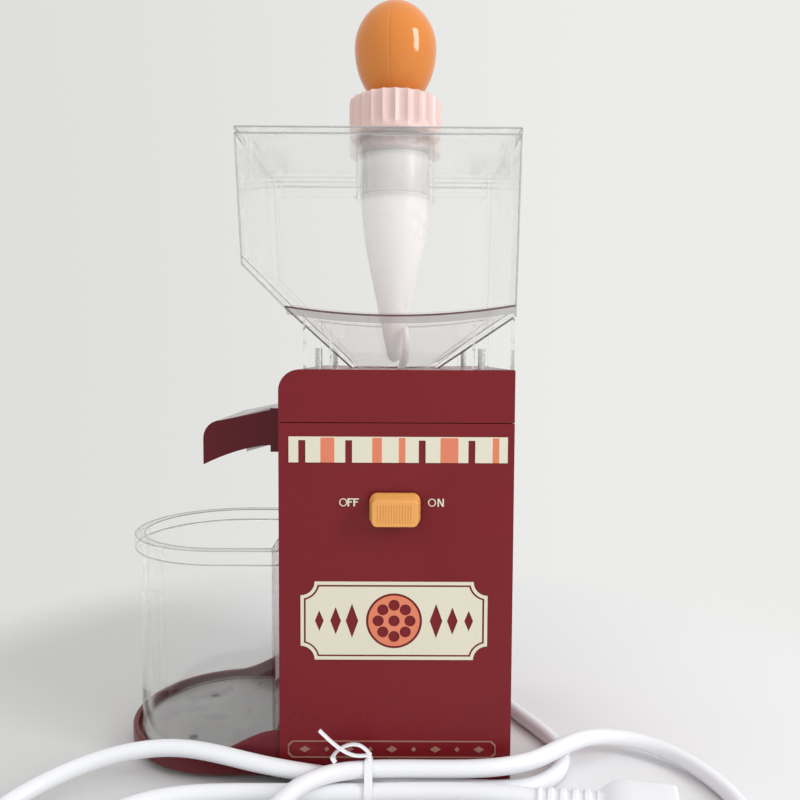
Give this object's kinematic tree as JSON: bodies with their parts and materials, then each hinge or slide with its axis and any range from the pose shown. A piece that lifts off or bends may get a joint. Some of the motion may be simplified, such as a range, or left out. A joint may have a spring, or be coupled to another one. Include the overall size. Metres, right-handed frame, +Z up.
{
  "type": "nut butter grinder",
  "caption": "Electric tabletop grinder with a clear hopper, pusher, geared conical mill, side chute and a jar in a tray.",
  "frame": {"origin": "on the surface that the grinder stands on, under the middle of the grinder's box without its mains cord", "axes": "+Z up, -Y out of the front face with the switch, +X to the right, with the jar on the -X side"},
  "size_m": [0.3085, 0.3107, 0.3539],
  "materials": {
    "housing_red": "moulded plastic, semi gloss",
    "cover_red": "moulded plastic, gloss",
    "tray_red": "moulded plastic, semi gloss",
    "hood_red": "moulded plastic, gloss",
    "foot_rubber": "matt",
    "grey_pad": "matt",
    "clear_plastic": "clear moulded plastic",
    "pusher_white": "milky translucent plastic",
    "ring_pink": "moulded plastic, satin",
    "knob_orange": "high gloss",
    "switch_orange": "satin",
    "print_cream": "printed plate",
    "print_coral": "printed plate",
    "print_tan": "printed line",
    "steel": "machined",
    "burr_steel": "ground",
    "zinc_plate": "cast",
    "motor_steel": "zinc plated",
    "core_steel": "stacked laminations",
    "magnet": "ferrite",
    "copper": "enamelled wire",
    "brass": "turned",
    "nylon": "natural nylon",
    "white_plastic": "natural plastic",
    "black_plastic": "moulded plastic",
    "pin_red": "moulded plastic",
    "board_green": "solder resist",
    "cord_white": "soft white plastic"
  },
  "bodies": {
    "base": {"rubber_feet": "foot_rubber", "base_plate": "housing_red", "base_screws": "steel", "housing": "housing_red", "rear_cover": "housing_red", "rear_screws": "steel", "jar_tray": "tray_red", "tray_screws": "steel", "tray_pad": "grey_pad", "stripe_band": "print_cream", "stripe_bars": "print_coral", "front_plaque": "print_cream", "plaque_rosette": "print_coral", "bottom_strip": "print_tan", "switch_legend": "print_cream", "switch_body": "black_plastic", "chute_hood": "hood_red", "deck_plate": "zinc_plate", "deck_screws": "steel", "mill_cup": "white_plastic", "fixed_burr": "burr_steel", "shaft_seal": "foot_rubber", "output_bearings": "steel", "compound_axle": "steel", "gearbox_plate": "zinc_plate", "gearbox_posts": "brass", "motor_can": "motor_steel", "motor_end_cap": "black_plastic", "motor_magnets": "magnet", "carbon_brushes": "magnet", "motor_screws": "steel", "rectifier_board": "board_green", "micro_switch": "black_plastic", "cord_gland": "cord_white", "power_cord": "cord_white", "plug_body": "cord_white", "plug_pins": "steel", "cord_tie": "cord_white"},
    "jar": {"jar": "clear_plastic"},
    "cover": {"top_cover": "cover_red", "hopper": "clear_plastic", "hopper_screws": "steel"},
    "lid": {"hopper_lid": "clear_plastic"},
    "pusher": {"pusher_tube": "pusher_white"},
    "pusher_head": {"pusher_ring": "ring_pink", "pusher_knob": "knob_orange"},
    "switch": {"switch_knob": "switch_orange"},
    "interlock": {"interlock_pin": "pin_red"},
    "mill_rotor": {"output_shaft": "steel", "output_gear": "nylon", "rotor_burr": "burr_steel", "sweeper_disc": "white_plastic", "agitator_arm": "pusher_white"},
    "compound": {"compound_gear": "nylon"},
    "motor_rotor": {"armature_core": "core_steel", "armature_coils": "copper", "commutator": "copper", "motor_shaft": "steel", "motor_pinion": "brass", "cooling_fan": "white_plastic"}
  },
  "joints": [
    {"name": "cover_lift", "type": "slide", "parent": "base", "child": "cover", "axis": [0, 0, 1], "range_m": [0, 0.035]},
    {"name": "lid_lift", "type": "slide", "parent": "cover", "child": "lid", "axis": [0, 0, 1], "range_m": [0, 0.03]},
    {"name": "pusher_slide", "type": "slide", "parent": "lid", "child": "pusher", "axis": [0, 0, 1], "range_m": [0, 0.09]},
    {"name": "pusher_head_turn", "type": "hinge", "parent": "pusher", "child": "pusher_head", "pos_m": [0.03655, 0.0052, 0.3], "axis": [0, 0, 1], "range_deg": [0, 90]},
    {"name": "jar_lift", "type": "slide", "parent": "base", "child": "jar", "axis": [0, 0, 1], "range_m": [0, 0.028]},
    {"name": "switch_slide", "type": "slide", "parent": "base", "child": "switch", "axis": [1, 0, 0], "range_m": [-0.004, 0]},
    {"name": "interlock_slide", "type": "slide", "parent": "base", "child": "interlock", "axis": [0, 0, 1], "range_m": [0, 0.0035]},
    {"name": "mill_spin", "type": "hinge", "parent": "base", "child": "mill_rotor", "pos_m": [0.03655, 0.0052, 0.1455], "axis": [0, 0, 1], "continuous": true},
    {"name": "compound_spin", "type": "hinge", "parent": "base", "child": "compound", "pos_m": [0.05005, 0.02858, 0.1455], "axis": [0, 0, 1], "continuous": true},
    {"name": "motor_spin", "type": "hinge", "parent": "base", "child": "motor_rotor", "pos_m": [0.06053, 0.00611, 0.06], "axis": [0, 0, 1], "continuous": true}
  ],
  "couplings": [
    {"joint": "compound_spin", "follows": "motor_spin", "ratio": -0.24},
    {"joint": "mill_spin", "follows": "motor_spin", "ratio": 0.073043},
    {"joint": "interlock_slide", "follows": "cover_lift", "ratio": 0.1}
  ]
}
